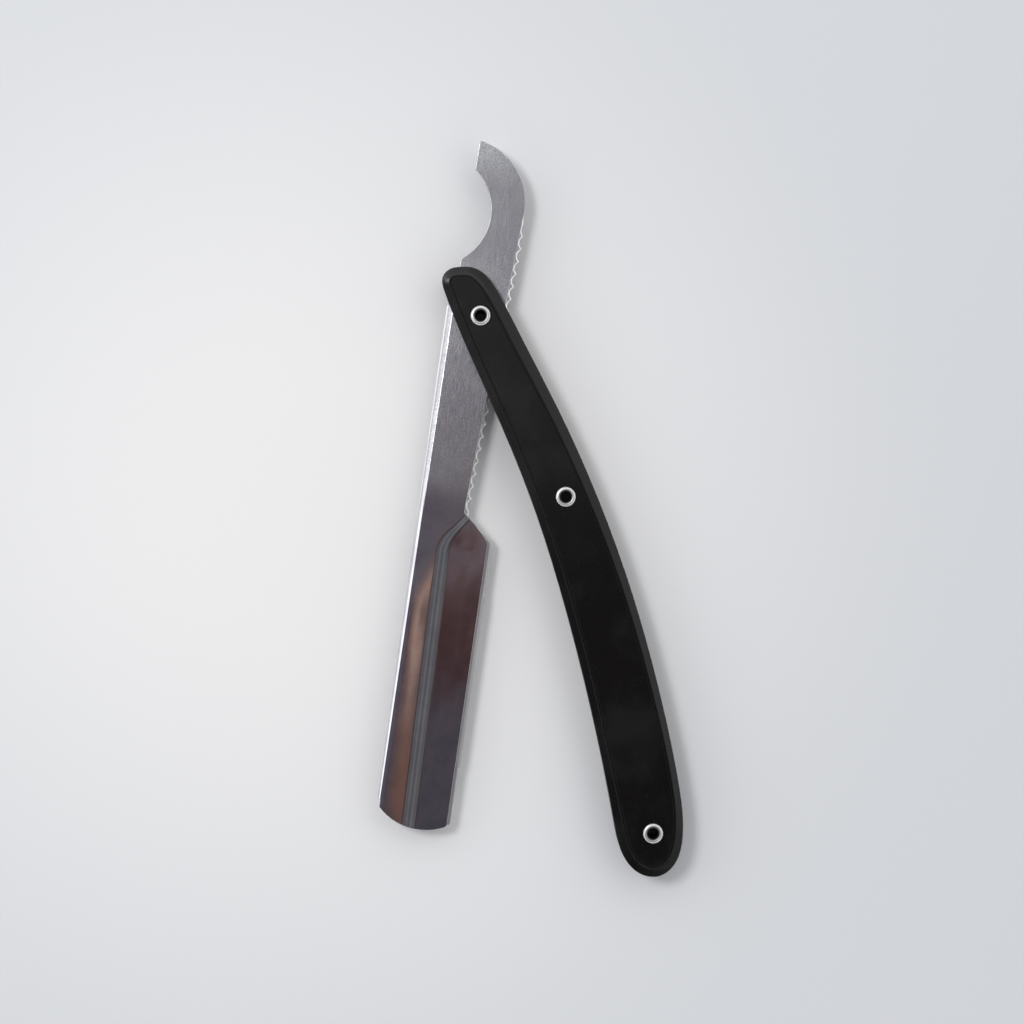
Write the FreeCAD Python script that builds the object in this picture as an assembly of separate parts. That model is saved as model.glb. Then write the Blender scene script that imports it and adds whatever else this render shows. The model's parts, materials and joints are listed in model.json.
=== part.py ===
import FreeCAD, Part
import math
import os

# Folding straight razor with a swing-open blade holder, in millimetres.
#
# The origin is on the pivot axis, halfway through the thickness of the blade holder.
# +X runs from the pivot eyelet to the end eyelet, +Y points to the handle's convex back,
# and +Z comes out of the front scale. The holder stands partly open, as it rests at joint zero.
#
# The leaves are drawn in the holder's own frame: u runs along it from the pivot towards the head,
# and v points to its cutting edge. The whole holder is then turned by HOLDER_REST_ANGLE.

V = FreeCAD.Vector

# Handle
PIVOT_TO_END = 118.0
MIDDLE_EYELET_AT = (43.0, 5.1)
SCALE_THICKNESS = 2.1
SCALE_GAP = 3.4
RIM_HEIGHT = 1.3          # height of a scale's upright side, before its bevelled border
BORDER_TOP = 0.14         # how far the bevelled border stays below the plateau
GROOVE_WIDTH = 0.30
GROOVE_DEPTH = 0.32
PLATEAU_CHAMFER = 0.10
# Outline of a scale as (x, y, width of the bevelled border there), once round, anticlockwise
SCALE_OUTLINE = [
    (-8.3, -5.75, 1.7), (-1.5, -5.55, 1.8), (12.0, -4.4, 1.8), (30.0, -2.75, 1.8), (47.0, -2.1, 1.8),
    (66.0, -2.6, 1.8), (84.0, -3.85, 1.8), (102.0, -5.75, 1.8), (113.5, -7.3, 1.9), (120.5, -7.65, 2.0),
    (125.6, -5.3, 2.1), (127.3, -1.6, 2.1), (125.6, 2.7, 2.0), (121.0, 5.8, 1.8),
    (109.0, 8.8, 1.5), (90.0, 11.0, 1.6), (63.0, 12.2, 1.8), (42.0, 11.4, 2.1),
    (24.0, 9.5, 2.3), (6.0, 6.75, 2.5), (-4.5, 5.0, 2.4), (-8.2, 3.75, 2.3),
    (-10.4, 1.8, 2.1), (-11.4, -0.6, 2.0), (-11.7, -3.2, 1.9), (-10.6, -5.1, 1.8),
]

# Eyelets: hollow rivets with a rolled collar in front and a clinched one on a washer behind
BARREL_OUTER_R = 1.40
BORE_R = 1.10
COLLAR_R = 2.20
COLLAR_PROUD = 0.38       # height of the rolled collar above the front plateau
COLLAR_SEAT_DEPTH = 0.15
COLLAR_SEAT_R = 2.35
BACK_COLLAR_R = 1.95
BACK_COLLAR_HEIGHT = 0.22
BACK_WASHER_R = 2.40
BACK_WASHER_THICKNESS = 0.25
BACK_POCKET_R = 2.50
BACK_POCKET_DEPTH = 0.50
RUNNING_CLEARANCE = 0.05
FACE_CLEARANCE = 0.05     # side play at the pivot, each side of the holder

# Spacers between the scales
SLEEVE_R = 1.90
PIVOT_WASHER_R = 3.6      # also the spacer's between the leaves
END_SPACER_START = 113.4  # radius about the pivot, just past the swing of the head's tip
END_SPACER_INSET = 0.5

# Blade holder: two leaves of sheet steel
HOLDER_REST_ANGLE = -26.9
SHEET = 0.8
LEAF_INNER_Z = 0.4        # inner face of a leaf's neck, from the mid-plane
PAD_INNER_Z = 0.10        # inner face of a leaf's clamping pad
SPINE_V = -6.1
NECK_V_AT_PIVOT = 4.85
NECK_TAPER = -0.049       # change of v per unit of u along the neck's edge
NOTCH_U = 42.7
HEAD_CORNER = (48.4, 8.75)
FLARE_BULGE = 0.25        # outward bow of the run from the notch to the head's corner
TOE_CENTRE = (99.5, 2.9)
TOE_R = 12.8
TOE_CORNER_V = 9.0
TAIL_WIDEST_U = -23.5
TAIL_TIP = (-37.85, -5.8)
TAIL_INNER = (-31.45, -5.9)
FINGER_REST_TOP = (-21.6, -1.1)
FINGER_REST_END = (-11.8, SPINE_V)
TOE_CORNER_R = 0.8
HEAD_CORNER_R = 1.2
NOTCH_R = 0.7
TAIL_CORNERS = [(*TAIL_TIP, 0.35), (*TAIL_INNER, 0.3)]

# Joggle that steps the pad in, in two shallow steps with a ledge between them.
# Each step comes down a diagonal from the notch, turns a bend and runs along the head.
# It is given as (u and v of the bend's corner, slope of the diagonal in degrees, bend radius).
SPINE_SIDE_STEP = (50.7, -1.95, -36.0, 9.0)
PAD_SIDE_STEP = (48.4, 0.5, -36.0, 7.0)
STEP_WIDTH = 0.5
STEP_RUN_SLOPE = 1.36     # degrees by which the steps lean away from the spine along the head
STEP_TOP_V = 4.6          # where the diagonals begin, clear of the notch
STEP_END_U = 114.0

# Crowned rib along the head's spine side
CROWN_RISE = 0.20
CROWN_START = 50.5
CROWN_ROUND = 5.0         # length over which it rises
CROWN_SECTIONS = 6        # sections along that length
CROWN_FIRST_SHARE = 0.1   # how far along the first gap between sections the rib begins
CROWN_MARGIN = 0.05       # flat left beside it

# Folded spine of the front leaf, which wraps the rear leaf's edge
FOLD_START = -1.5
FOLD_END = 107.0
FOLD_OUTER_AT_START = -7.69
FOLD_OUTER_AT_END = -6.76
FOLD_CLEARANCE = 0.12
FOLD_LAP = 0.3            # how far its drawing runs into the flat of the leaf

# Rear leaf
HEEL_U = -0.3             # towards the tail from here its spine edge is cut back, so that the fold can turn
HEEL_RELIEF_V = -5.6
HEEL_RELIEF_LEAD = 1.0
REAR_EDGE_PROUD = 0.85    # how far its head stands beyond the front leaf's
JIMP_PITCH = 2.77
JIMP_COUNT = 23
JIMP_FIRST_U = 42.4
JIMP_HEIGHT = 0.9
JIMP_DEPTH = 0.62
JIMP_CREST = 0.36
JIMP_TO_FLARE = 1.4       # from the first jimp to the foot of the head's flare
JIMP_GROWTH = 0.13        # growth of the jimps' height per unit of u from the tail

# Half of a double-edge blade, and the studs that hold it
BLADE_THICKNESS = 0.10
BLADE_LENGTH = 43.0
BLADE_EDGE_LENGTH = 37.4
BLADE_WIDTH = 11.0
BLADE_TAB_WIDTH = 6.0
BLADE_BEVEL = 0.7
BLADE_EDGE_THICKNESS = 0.01
BLADE_SLOT_DEPTH = 0.9
BLADE_SLOT_LENGTH = 30.0
BLADE_HOLE_R = 1.85
BLADE_HOLE_SPACING = 13.0
BLADE_CENTRE_U = 79.0
BLADE_PROUD = 1.0         # edge beyond the front leaf's edge
END_STUD_R = 1.0
MIDDLE_STUD_R = 0.6
STUD_TOP_Z = 0.05

# Worked out from the above
SCALE_INNER_Z = SCALE_GAP / 2
PLATEAU_Z = SCALE_INNER_Z + SCALE_THICKNESS
LEAF_OUTER_Z = LEAF_INNER_Z + SHEET
HOLE_R = BARREL_OUTER_R + RUNNING_CLEARANCE
STEP_DROP = (LEAF_INNER_Z - PAD_INNER_Z) / 2
LEDGE_INNER_Z = LEAF_INNER_Z - STEP_DROP
TOE_CORNER = (TOE_CENTRE[0] + math.sqrt(TOE_R ** 2 - (TOE_CORNER_V - TOE_CENTRE[1]) ** 2), TOE_CORNER_V)
EDGE_SLOPE = (TOE_CORNER[1] - HEAD_CORNER[1]) / (TOE_CORNER[0] - HEAD_CORNER[0])
EYELETS = {"pivot": (0.0, 0.0), "middle": MIDDLE_EYELET_AT, "end": (PIVOT_TO_END, 0.0)}
FAR = 30.0                # reach of the unbounded sheet past the leaves
JOIN_LAP = 0.05           # how far a joined-on form starts below the surface


def line(a, b):
    return Part.makeLine(V(*a, 0), V(*b, 0))


def arc(a, through, b):
    return Part.Arc(V(*a, 0), V(*through, 0), V(*b, 0)).toShape()


def prism(edges, z_low, z_high):
    """Upright solid on a closed loop of edges drawn at z = 0."""
    face = Part.Face(Part.Wire(edges))
    solid = face.extrude(V(0, 0, z_high - z_low))
    solid.translate(V(0, 0, z_low))
    return solid


def cylinder(radius, z_low, z_high, at=(0.0, 0.0)):
    return Part.makeCylinder(radius, z_high - z_low, V(at[0], at[1], z_low))


def round_upright_edges(solid, corners):
    """Fillet the upright edges nearest to each (x, y, radius)."""
    for x, y, radius in corners:
        upright = [e for e in solid.Edges if abs(e.BoundBox.XLength) + abs(e.BoundBox.YLength) < 1e-6]
        nearest = min(upright, key=lambda e: math.hypot(e.BoundBox.XMin - x, e.BoundBox.YMin - y))
        solid = solid.makeFillet(radius, [nearest])
    return solid


def mirrored_in_z(shape):
    return shape.mirror(V(0, 0, 0), V(0, 0, 1))


# ---------------------------------------------------------------- handle

def closed_spline(points):
    curve = Part.BSplineCurve()
    curve.interpolate(Points=[V(x, y, 0) for x, y in points], PeriodicFlag=True)
    return curve


def scale_curve(inset_share=0.0, extra_inset=0.0):
    """The scale's outline, moved in by a share of its bevelled border plus a constant."""
    outline = closed_spline([(x, y) for x, y, _ in SCALE_OUTLINE])
    points = []
    for x, y, border in SCALE_OUTLINE:
        along = outline.tangent(outline.parameter(V(x, y, 0)))[0]
        inset = inset_share * border + extra_inset
        points.append((x - along.y * inset, y + along.x * inset))
    return closed_spline(points)


def curve_wire(curve, z):
    wire = Part.Wire(curve.toShape())
    wire.translate(V(0, 0, z))
    return wire


def curve_prism(curve, z_low, z_high):
    return prism([curve.toShape()], z_low, z_high)


def scale_blank():
    """Upright rim, bevelled border, groove and raised plateau."""
    outline = scale_curve()
    border_line = scale_curve(inset_share=1.0)
    plateau_line = scale_curve(inset_share=1.0, extra_inset=GROOVE_WIDTH)
    rim_z = SCALE_INNER_Z + RIM_HEIGHT
    border_z = PLATEAU_Z - BORDER_TOP
    groove_z = PLATEAU_Z - GROOVE_DEPTH
    foot = curve_wire(outline, SCALE_INNER_Z)
    rim = curve_wire(outline, rim_z)
    blank = Part.makeLoft([foot, rim, curve_wire(border_line, border_z)], True, True)
    blank = blank.cut(curve_prism(border_line, groove_z, PLATEAU_Z + 1))
    plateau = curve_prism(plateau_line, groove_z, PLATEAU_Z)
    top_edges = [e for e in plateau.Edges if e.BoundBox.ZMin > PLATEAU_Z - 1e-4]
    plateau = plateau.makeChamfer(PLATEAU_CHAMFER, top_edges)
    return blank.fuse(plateau).removeSplitter()


def front_scale():
    scale = scale_blank()
    for at in EYELETS.values():
        scale = scale.cut(cylinder(HOLE_R, 0, PLATEAU_Z + 1, at))
        scale = scale.cut(cylinder(COLLAR_SEAT_R, PLATEAU_Z - COLLAR_SEAT_DEPTH, PLATEAU_Z + 1, at))
    return scale


def rear_scale():
    scale = scale_blank()
    for at in EYELETS.values():
        scale = scale.cut(cylinder(HOLE_R, 0, PLATEAU_Z + 1, at))
        scale = scale.cut(cylinder(BACK_POCKET_R, PLATEAU_Z - BACK_POCKET_DEPTH, PLATEAU_Z + 1, at))
    return mirrored_in_z(scale)


def eyelet(at):
    """Tube with a rolled front collar and a flatter clinched back collar, turned about its axis."""
    seat_z = PLATEAU_Z - COLLAR_SEAT_DEPTH
    washer_z = -(PLATEAU_Z - BACK_POCKET_DEPTH + BACK_WASHER_THICKNESS)
    bore_front, bore_back = V(BORE_R, 0, PLATEAU_Z), V(BORE_R, 0, washer_z)
    collar_crest = V((BORE_R + COLLAR_R) / 2, 0, PLATEAU_Z + COLLAR_PROUD)
    collar_rim, back_rim = V(COLLAR_R, 0, seat_z), V(BACK_COLLAR_R, 0, washer_z)
    back_crest = V((BORE_R + BACK_COLLAR_R) / 2, 0, washer_z - BACK_COLLAR_HEIGHT)
    barrel_front, barrel_back = V(BARREL_OUTER_R, 0, seat_z), V(BARREL_OUTER_R, 0, washer_z)
    section = Part.Face(Part.Wire([
        Part.makeLine(bore_back, bore_front),
        Part.Arc(bore_front, collar_crest, collar_rim).toShape(),
        Part.makeLine(collar_rim, barrel_front),
        Part.makeLine(barrel_front, barrel_back),
        Part.makeLine(barrel_back, back_rim),
        Part.Arc(back_rim, back_crest, bore_back).toShape(),
    ]))
    solid = section.revolve(V(0, 0, 0), V(0, 0, 1), 360)
    solid.translate(V(at[0], at[1], 0))
    return solid


def ring(outer_r, z_low, z_high, at=(0.0, 0.0)):
    return cylinder(outer_r, z_low, z_high, at).cut(cylinder(HOLE_R, z_low - 1, z_high + 1, at))


def eyelet_washer(at):
    floor_z = -(PLATEAU_Z - BACK_POCKET_DEPTH)
    return ring(BACK_WASHER_R, floor_z - BACK_WASHER_THICKNESS, floor_z, at)


def middle_sleeve():
    return ring(SLEEVE_R, -SCALE_INNER_Z, SCALE_INNER_Z, MIDDLE_EYELET_AT)


def front_pivot_washer():
    return ring(PIVOT_WASHER_R, LEAF_OUTER_Z + FACE_CLEARANCE, SCALE_INNER_Z)


def end_spacer():
    """Wedge that closes the handle's end, hollowed on the line that the head's tip swings along."""
    wedge = curve_prism(scale_curve(extra_inset=END_SPACER_INSET), -SCALE_INNER_Z, SCALE_INNER_Z)
    wedge = wedge.cut(cylinder(END_SPACER_START, -SCALE_GAP, SCALE_GAP))
    return wedge.cut(cylinder(HOLE_R, -SCALE_GAP, SCALE_GAP, EYELETS["end"]))


# ---------------------------------------------------------------- blade holder

def neck_point(u, out=0.0):
    """Point on the neck's cutting-side edge, moved out from it."""
    length = math.hypot(1, NECK_TAPER)
    return (u - NECK_TAPER * out / length, NECK_V_AT_PIVOT + NECK_TAPER * u + out / length)


def head_edge_v(u):
    """Where the front leaf's head edge runs."""
    return HEAD_CORNER[1] + EDGE_SLOPE * (u - HEAD_CORNER[0])


def fold_outer_v(u):
    share = (u - FOLD_START) / (FOLD_END - FOLD_START)
    return FOLD_OUTER_AT_START + share * (FOLD_OUTER_AT_END - FOLD_OUTER_AT_START)


def toe_point(v):
    return (TOE_CENTRE[0] + math.sqrt(TOE_R ** 2 - (v - TOE_CENTRE[1]) ** 2), v)


def tail_edges():
    """From the neck round the tail's back to its tip, and along the finger rest to the spine."""
    start = neck_point(TAIL_WIDEST_U)
    length = math.hypot(1, NECK_TAPER)
    normal = (-NECK_TAPER / length, 1 / length)
    to_tip = (TAIL_TIP[0] - start[0], TAIL_TIP[1] - start[1])
    radius = -math.hypot(*to_tip) ** 2 / (2 * (to_tip[0] * normal[0] + to_tip[1] * normal[1]))
    centre = (start[0] - radius * normal[0], start[1] - radius * normal[1])
    start_angle = math.atan2(start[1] - centre[1], start[0] - centre[0])
    tip_angle = math.atan2(TAIL_TIP[1] - centre[1], TAIL_TIP[0] - centre[0]) % (2 * math.pi)
    middle = (start_angle + tip_angle) / 2
    through = (centre[0] + radius * math.cos(middle), centre[1] + radius * math.sin(middle))
    return [
        arc(start, through, TAIL_TIP),
        line(TAIL_TIP, TAIL_INNER),
        arc(TAIL_INNER, FINGER_REST_TOP, FINGER_REST_END),
    ]


def flare_edge(top, notch):
    """Slightly bowed run from the head's corner down to the notch."""
    du, dv = top[0] - notch[0], top[1] - notch[1]
    length = math.hypot(du, dv)
    middle_u = (top[0] + notch[0]) / 2 - FLARE_BULGE * dv / length
    middle_v = (top[1] + notch[1]) / 2 + FLARE_BULGE * du / length
    return arc(top, (middle_u, middle_v), notch)


def front_outline():
    notch = neck_point(NOTCH_U)
    toe_at_spine = toe_point(SPINE_V)
    edges = [
        line(FINGER_REST_END, toe_at_spine),
        arc(toe_at_spine, toe_point(TOE_CENTRE[1]), TOE_CORNER),
        line(TOE_CORNER, HEAD_CORNER),
        flare_edge(HEAD_CORNER, notch),
        line(notch, neck_point(TAIL_WIDEST_U)),
    ]
    corners = [(*TOE_CORNER, TOE_CORNER_R), (*HEAD_CORNER, HEAD_CORNER_R), (*notch, NOTCH_R)]
    return edges + tail_edges(), corners + TAIL_CORNERS


def jimp_height(u):
    return min(JIMP_HEIGHT, JIMP_GROWTH * (u - TAIL_WIDEST_U))


def jimp_edges():
    """Round-filed notches from the head to the tail, fading out at the tail."""
    edges = []
    for tooth in range(JIMP_COUNT):
        crest_u = JIMP_FIRST_U - tooth * JIMP_PITCH
        next_u = crest_u - JIMP_PITCH
        height, next_height = jimp_height(crest_u), jimp_height(next_u)
        crest_start = neck_point(crest_u, height)
        crest_end = neck_point(crest_u - JIMP_CREST, height)
        valley_out = (height + next_height) / 2 * (1 - JIMP_DEPTH / JIMP_HEIGHT)
        valley = neck_point(crest_u - (JIMP_PITCH + JIMP_CREST) / 2, valley_out)
        edges.append(line(crest_start, crest_end))
        edges.append(arc(crest_end, valley, neck_point(next_u, next_height)))
    return edges


def rear_outline():
    """As the front leaf's, but inside its fold, cut back at the heel, with jimps, and prouder at the head."""
    fold_clear = SHEET + FOLD_CLEARANCE
    relief_start = (FINGER_REST_END[0] + HEEL_RELIEF_LEAD, HEEL_RELIEF_V)
    relief_end = (HEEL_U, HEEL_RELIEF_V)
    heel = (HEEL_U, fold_outer_v(HEEL_U) + fold_clear)
    toe_v = fold_outer_v(FOLD_END) + fold_clear
    head_corner = (HEAD_CORNER[0], HEAD_CORNER[1] + REAR_EDGE_PROUD)
    toe_corner = toe_point(TOE_CORNER_V + REAR_EDGE_PROUD)
    first_crest = neck_point(JIMP_FIRST_U, jimp_height(JIMP_FIRST_U))
    flare_foot = (first_crest[0] + JIMP_TO_FLARE, first_crest[1])
    last_u = JIMP_FIRST_U - JIMP_COUNT * JIMP_PITCH
    last_crest = neck_point(last_u, jimp_height(last_u))
    edges = [
        line(FINGER_REST_END, relief_start),
        line(relief_start, relief_end),
        line(relief_end, heel),
        line(heel, (FOLD_END, toe_v)),
        line((FOLD_END, toe_v), toe_point(toe_v)),
        arc(toe_point(toe_v), toe_point(TOE_CENTRE[1]), toe_corner),
        line(toe_corner, head_corner),
        flare_edge(head_corner, flare_foot),
        line(flare_foot, first_crest),
        *jimp_edges(),
        line(last_crest, neck_point(TAIL_WIDEST_U)),
    ]
    corners = [(*toe_corner, TOE_CORNER_R), (*head_corner, HEAD_CORNER_R)]
    return edges + tail_edges(), corners + TAIL_CORNERS


def step_path(step, offset):
    """A step's path, moved towards the pad: start, bend's start, middle and end, end, and the bend's centre."""
    corner_u, corner_v, diagonal, radius = step
    d1 = V(math.cos(math.radians(diagonal)), math.sin(math.radians(diagonal)), 0)
    d2 = V(math.cos(math.radians(STEP_RUN_SLOPE)), math.sin(math.radians(STEP_RUN_SLOPE)), 0)
    n1 = V(-d1.y, d1.x, 0)
    n2 = V(-d2.y, d2.x, 0)
    corner = V(corner_u, corner_v, 0)
    moved_corner = corner + (n1 + n2) * (offset / (1 + n1.dot(n2)))
    bend_r = radius - offset
    tangent = bend_r * math.tan(math.radians(STEP_RUN_SLOPE - diagonal) / 2)
    bend_start = moved_corner - d1 * tangent
    bend_end = moved_corner + d2 * tangent
    centre = bend_start + n1 * bend_r
    middle = centre - (n1 + n2).normalize() * bend_r
    start = corner - d1 * ((STEP_TOP_V - corner_v) / -d1.y) + n1 * offset
    end = corner + d2 * ((STEP_END_U - corner_u) / d2.x) + n2 * offset
    return start, bend_start, middle, bend_end, end, centre


def path_edges(step, offset):
    start, bend_start, middle, bend_end, end, _ = step_path(step, offset)
    return [
        Part.makeLine(start, bend_start),
        Part.Arc(bend_start, middle, bend_end).toShape(),
        Part.makeLine(bend_end, end),
    ]


def step_section(at, across, top_z):
    """Cross-section of a step: a sheet that sinks by STEP_DROP along an S of two equal arcs."""
    half = STEP_WIDTH / 2
    bend = (STEP_WIDTH ** 2 + STEP_DROP ** 2) / (4 * STEP_DROP)
    quarter = math.asin(half / bend) / 2
    run, fall = bend * math.sin(quarter), bend * (1 - math.cos(quarter))

    def spot(out, z):
        return at + across * out + V(0, 0, z)

    edges = []
    for z in (top_z, top_z - SHEET):
        low_z = z - STEP_DROP
        middle = spot(0, (z + low_z) / 2)
        edges.append(Part.Arc(spot(-half, z), spot(-half + run, z - fall), middle).toShape())
        edges.append(Part.Arc(middle, spot(half - run, low_z + fall), spot(half, low_z)).toShape())
    edges.append(Part.makeLine(spot(-half, top_z), spot(-half, top_z - SHEET)))
    edges.append(Part.makeLine(spot(half, top_z - STEP_DROP), spot(half, top_z - STEP_DROP - SHEET)))
    return Part.Face(Part.Wire(Part.__sortEdges__(edges)))


def step_solids(step, top_z):
    start, bend_start, _, bend_end, end, centre = step_path(step, 0.0)
    turn = STEP_RUN_SLOPE - step[2]
    d1 = (bend_start - start).normalize()
    d2 = (end - bend_end).normalize()
    diagonal_section = step_section(start, V(-d1.y, d1.x, 0), top_z)
    bend_section = step_section(bend_start, V(-d1.y, d1.x, 0), top_z)
    run_section = step_section(bend_end, V(-d2.y, d2.x, 0), top_z)
    return [
        diagonal_section.extrude(bend_start - start),
        bend_section.revolve(centre, V(0, 0, 1), turn),
        run_section.extrude(end - bend_end),
    ]


def sheet_zone(edges, top_z):
    return prism(Part.__sortEdges__(edges), top_z - SHEET, top_z)


def joggled_sheet():
    """Unbounded front sheet: neck level, two steps with a ledge between them, and pad level."""
    half = STEP_WIDTH / 2
    neck_z = LEAF_OUTER_Z
    ledge_z = neck_z - STEP_DROP
    pad_z = ledge_z - STEP_DROP

    neck_side = path_edges(SPINE_SIDE_STEP, -half)
    start, end = neck_side[0].Vertexes[0].Point, neck_side[2].Vertexes[1].Point
    around = [start, V(start.x, FAR, 0), V(-2 * FAR, FAR, 0), V(-2 * FAR, -FAR, 0), V(end.x, -FAR, 0), end]
    neck = sheet_zone(neck_side + [Part.makeLine(a, b) for a, b in zip(around, around[1:])], neck_z)

    ledge_low = path_edges(SPINE_SIDE_STEP, half)
    ledge_high = path_edges(PAD_SIDE_STEP, -half)
    ledge_ends = [
        Part.makeLine(ledge_low[0].Vertexes[0].Point, ledge_high[0].Vertexes[0].Point),
        Part.makeLine(ledge_low[2].Vertexes[1].Point, ledge_high[2].Vertexes[1].Point),
    ]
    ledge = sheet_zone(ledge_low + ledge_high + ledge_ends, ledge_z)

    pad_side = path_edges(PAD_SIDE_STEP, half)
    start, end = pad_side[0].Vertexes[0].Point, pad_side[2].Vertexes[1].Point
    around = [start, V(start.x, FAR, 0), V(end.x, FAR, 0), end]
    pad = sheet_zone(pad_side + [Part.makeLine(a, b) for a, b in zip(around, around[1:])], pad_z)

    pieces = step_solids(SPINE_SIDE_STEP, neck_z) + step_solids(PAD_SIDE_STEP, ledge_z) + [ledge, pad]
    return neck.multiFuse(pieces).removeSplitter()


def joggled_leaf(outline):
    """A leaf cut from the joggled sheet, with rounded corners and the pivot hole."""
    edges, corners = outline
    blank = round_upright_edges(prism(edges, 0, LEAF_OUTER_Z + 1), corners)
    leaf = joggled_sheet().common(blank)
    return leaf.cut(cylinder(HOLE_R, 0, LEAF_OUTER_Z + 1)).removeSplitter()


def crown_section(u, share):
    """Circular segment across the rib, scaled down by share where the rib still rises."""
    lean = math.tan(math.radians(STEP_RUN_SLOPE))
    low = SPINE_V + CROWN_MARGIN
    high = SPINE_SIDE_STEP[1] + (u - SPINE_SIDE_STEP[0]) * lean - STEP_WIDTH / 2 - CROWN_MARGIN
    middle, half = (low + high) / 2, (high - low) / 2 * share
    foot_z = LEAF_OUTER_Z - JOIN_LAP
    a, b = V(u, middle - half, LEAF_OUTER_Z), V(u, middle + half, LEAF_OUTER_Z)
    foot_a, foot_b = V(u, middle - half, foot_z), V(u, middle + half, foot_z)
    top = Part.Arc(a, V(u, middle, LEAF_OUTER_Z + CROWN_RISE * share ** 2), b).toShape()
    return Part.Wire([top, Part.makeLine(b, foot_b), Part.makeLine(foot_b, foot_a), Part.makeLine(foot_a, a)])


def crown():
    """Shallow pressed-up rib between the spine and the joggle, with a rounded start."""
    sections = []
    for n in range(CROWN_SECTIONS):
        travelled = (n + CROWN_FIRST_SHARE) / (CROWN_SECTIONS - 1 + CROWN_FIRST_SHARE)
        share = math.sqrt(1 - (1 - travelled) ** 2)
        sections.append(crown_section(CROWN_START + CROWN_ROUND * travelled, share))
    sections.append(crown_section(STEP_END_U, 1.0))
    return Part.makeLoft(sections, True, True)


def fold():
    """Spine of the front leaf: its edge rolls over and down past the rear leaf."""
    sections = []
    for u in (FOLD_START, FOLD_END):
        outer = fold_outer_v(u)
        roll = SPINE_V - outer
        inside = SPINE_V + FOLD_LAP
        slant = roll * (1 - math.sqrt(0.5))
        top = Part.Arc(V(u, outer, LEAF_OUTER_Z - roll), V(u, outer + slant, LEAF_OUTER_Z - slant),
                       V(u, SPINE_V, LEAF_OUTER_Z)).toShape()
        corners = [(SPINE_V, LEAF_OUTER_Z), (inside, LEAF_OUTER_Z), (inside, LEAF_INNER_Z),
                   (outer + SHEET, LEAF_INNER_Z), (outer + SHEET, -LEAF_OUTER_Z), (outer, -LEAF_OUTER_Z),
                   (outer, LEAF_OUTER_Z - roll)]
        sides = [Part.makeLine(V(u, *a), V(u, *b)) for a, b in zip(corners, corners[1:])]
        sections.append(Part.Wire([top] + sides))
    return Part.makeLoft(sections, True, True)


def front_leaf():
    edges, _ = front_outline()
    within = prism(edges, 0, LEAF_OUTER_Z + 1)
    return joggled_leaf(front_outline()).multiFuse([crown().common(within), fold()]).removeSplitter()


def stud_places():
    """The middle stud stands in the blade's centre hole, the end studs in the steps of its two ends."""
    ledge_v = (SPINE_SIDE_STEP[1] + PAD_SIDE_STEP[1]) / 2
    lean = math.tan(math.radians(STEP_RUN_SLOPE))
    ledge_v += (BLADE_CENTRE_U - (SPINE_SIDE_STEP[0] + PAD_SIDE_STEP[0]) / 2) * lean
    shoulder_v = head_edge_v(BLADE_CENTRE_U) + BLADE_PROUD - BLADE_WIDTH + BLADE_TAB_WIDTH
    reach = BLADE_EDGE_LENGTH / 2 + END_STUD_R + RUNNING_CLEARANCE
    end_v = shoulder_v + END_STUD_R + RUNNING_CLEARANCE
    return {
        "heel": (BLADE_CENTRE_U - reach, end_v - EDGE_SLOPE * reach),
        "middle": (BLADE_CENTRE_U, ledge_v),
        "toe": (BLADE_CENTRE_U + reach, end_v + EDGE_SLOPE * reach),
    }


def stud(name):
    radius = MIDDLE_STUD_R if name == "middle" else END_STUD_R
    sheet_inner_z = LEDGE_INNER_Z if name == "middle" else PAD_INNER_Z
    return cylinder(radius, -sheet_inner_z - SHEET, STUD_TOP_Z, stud_places()[name])


def rear_leaf():
    leaf = mirrored_in_z(joggled_leaf(rear_outline()))
    for name in stud_places():
        leaf = leaf.cut(stud(name))
    return leaf


def half_blade():
    """Half of a double-edge blade, snapped along its slot, lying on the rear leaf's pad."""
    mid = BLADE_THICKNESS / 2
    shoulder = BLADE_WIDTH - BLADE_BEVEL
    tip = BLADE_EDGE_THICKNESS / 2
    lower_half = [(0, -mid), (shoulder, -mid), (BLADE_WIDTH, -tip)]
    upper_half = [(v, -z) for v, z in reversed(lower_half)]
    points = [V(-BLADE_LENGTH / 2, v, z) for v, z in lower_half + upper_half]
    face = Part.Face(Part.makePolygon(points + points[:1]))
    blade = face.extrude(V(BLADE_LENGTH, 0, 0))
    tab = (BLADE_LENGTH - BLADE_EDGE_LENGTH) / 2
    for u in (-BLADE_LENGTH / 2, BLADE_LENGTH / 2 - tab):
        blade = blade.cut(Part.makeBox(tab, BLADE_WIDTH, 2, V(u, BLADE_TAB_WIDTH, -1)))
    slot_corner = V(-BLADE_SLOT_LENGTH / 2, -1, -1)
    blade = blade.cut(Part.makeBox(BLADE_SLOT_LENGTH, 1 + BLADE_SLOT_DEPTH, 2, slot_corner))
    for n in (-1, 0, 1):
        blade = blade.cut(cylinder(BLADE_HOLE_R, -1, 1, (n * BLADE_HOLE_SPACING, 0)))
    blade.rotate(V(0, 0, 0), V(0, 0, 1), math.degrees(math.atan(EDGE_SLOPE)))
    back_v = head_edge_v(BLADE_CENTRE_U) + BLADE_PROUD - BLADE_WIDTH
    blade.translate(V(BLADE_CENTRE_U, back_v, -PAD_INNER_Z + mid))
    return blade


def leaf_spacer():
    return ring(PIVOT_WASHER_R, -LEAF_INNER_Z, LEAF_INNER_Z - FACE_CLEARANCE)


def at_rest(shape):
    turned = shape.copy()
    turned.rotate(V(0, 0, 0), V(0, 0, 1), HOLDER_REST_ANGLE)
    return turned


# ---------------------------------------------------------------- the assembly

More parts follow.
